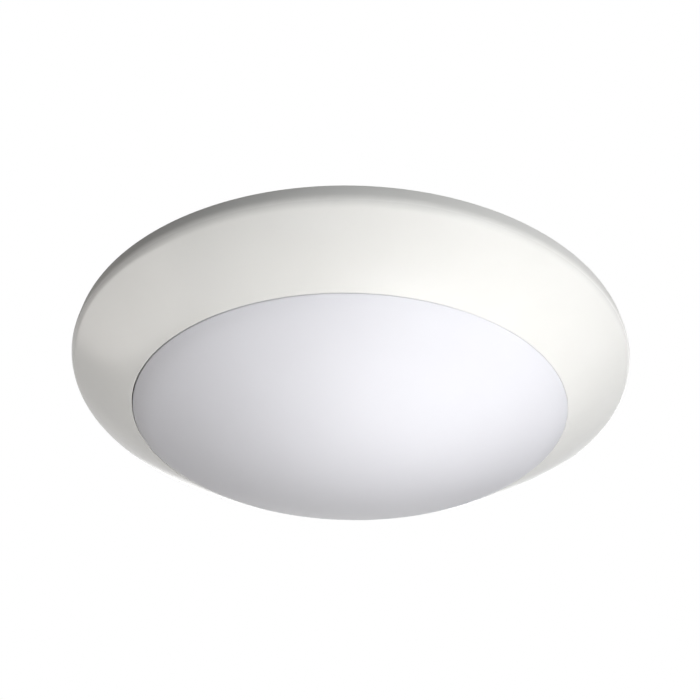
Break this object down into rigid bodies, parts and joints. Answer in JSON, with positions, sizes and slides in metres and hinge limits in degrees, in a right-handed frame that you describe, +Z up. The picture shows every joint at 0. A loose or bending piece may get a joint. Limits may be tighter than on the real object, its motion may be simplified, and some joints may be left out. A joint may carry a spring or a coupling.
{
  "type": "disk light",
  "caption": "Round surface-mount LED disk light: broad sloping trim ring, shallow opal domed lens, driver cup behind and a twist-lock mounting plate for a ceiling box.",
  "frame": {"origin": "on the light's axis in the ceiling plane, at the centre of the mounting plate's box screw slots", "axes": "+Z up along the light's axis, into the ceiling; the lens faces -Z; X and Y run through the box screw slots"},
  "size_m": [0.188, 0.188, 0.0471],
  "materials": {
    "trim_white": "satin moulded polycarbonate, warm white",
    "lens_opal": "opal diffuser, satin",
    "foam_grey": "closed-cell foam",
    "silicone_clear": "silicone",
    "pan_aluminium": "pressed sheet, mill finish",
    "plated_steel": "zinc-plated sheet",
    "screw_steel": "zinc-plated",
    "earth_green": "green-dyed plating",
    "pad_grey": "thermal silicone",
    "board_white": "white solder mask on aluminium",
    "led_white": "moulded package",
    "phosphor_yellow": "phosphor-filled silicone",
    "reflector_white": "white film",
    "cup_grey": "moulded flame-retardant plastic",
    "grommet_black": "moulded rubber",
    "insulator_amber": "polyester sheet",
    "board_green": "glass-epoxy board",
    "terminal_white": "moulded nylon",
    "package_black": "moulded epoxy",
    "varistor_blue": "dipped epoxy",
    "film_yellow": "moulded box",
    "sleeve_dark": "shrunk sleeve",
    "ferrite_dark": "sintered ferrite",
    "winding_copper": "enamelled copper wire",
    "lead_red": "insulated wire"
  },
  "bodies": {
    "ceiling_mount": {"mounting_plate": "plated_steel", "lock_studs": "screw_steel", "earth_screw": "earth_green"},
    "fixture": {"trim_ring": "trim_white", "diffuser_lens": "lens_opal", "lens_gasket": "silicone_clear", "ceiling_gasket": "foam_grey", "heat_sink_pan": "pan_aluminium", "pan_screws": "screw_steel", "thermal_pad": "pad_grey", "led_board": "board_white", "led_packages": "led_white", "led_phosphor": "phosphor_yellow", "led_board_screws": "screw_steel", "reflector_sheet": "reflector_white", "lock_plate": "plated_steel", "lock_plate_screws": "screw_steel", "driver_housing": "cup_grey", "housing_seal": "silicone_clear", "housing_screws": "screw_steel", "supply_grommet": "grommet_black", "insulator_disc": "insulator_amber", "driver_board": "board_green", "driver_board_screws": "screw_steel", "input_terminal": "terminal_white", "fuse": "package_black", "varistor": "varistor_blue", "film_capacitor": "film_yellow", "bridge_rectifier": "package_black", "controller_chip": "package_black", "bulk_capacitor": "sleeve_dark", "output_capacitor": "sleeve_dark", "transformer_core": "ferrite_dark", "transformer_winding": "winding_copper", "led_leads": "lead_red"}
  },
  "joints": [
    {"name": "twist_lock", "type": "hinge", "parent": "ceiling_mount", "child": "fixture", "pos_m": [0, 0, 0], "axis": [0, 0, 1], "range_deg": [0, 20]}
  ]
}
